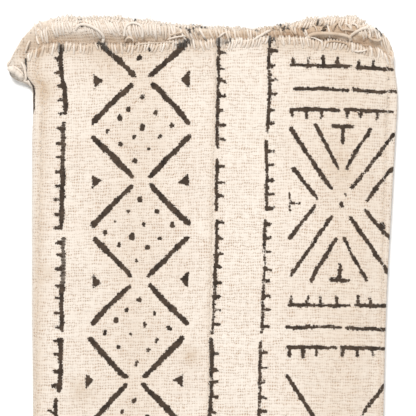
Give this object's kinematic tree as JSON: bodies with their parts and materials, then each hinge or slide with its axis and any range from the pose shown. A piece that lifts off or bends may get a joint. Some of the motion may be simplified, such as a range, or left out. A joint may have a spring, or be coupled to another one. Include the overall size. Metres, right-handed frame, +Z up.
{
  "type": "folded mud cloth",
  "caption": "Handwoven cream cotton mud cloth, folded into a flat stack, painted with dark diamonds, dots, crosses and ticked lines, its overlocked hems showing at one end",
  "frame": {"origin": "middle of the bounding box, on the surface the folded cloth lies on", "axes": "+X to the right across the folded cloth, +Y along the strips toward the hems whose layers show, +Z up"},
  "size_m": [0.2852, 0.4212, 0.0144],
  "materials": {
    "cloth": "undyed handspun cotton in plain weave, matt, with dark brown-black painted marks"
  },
  "bodies": {
    "root": {"cloth": "cloth"}
  },
  "joints": []
}
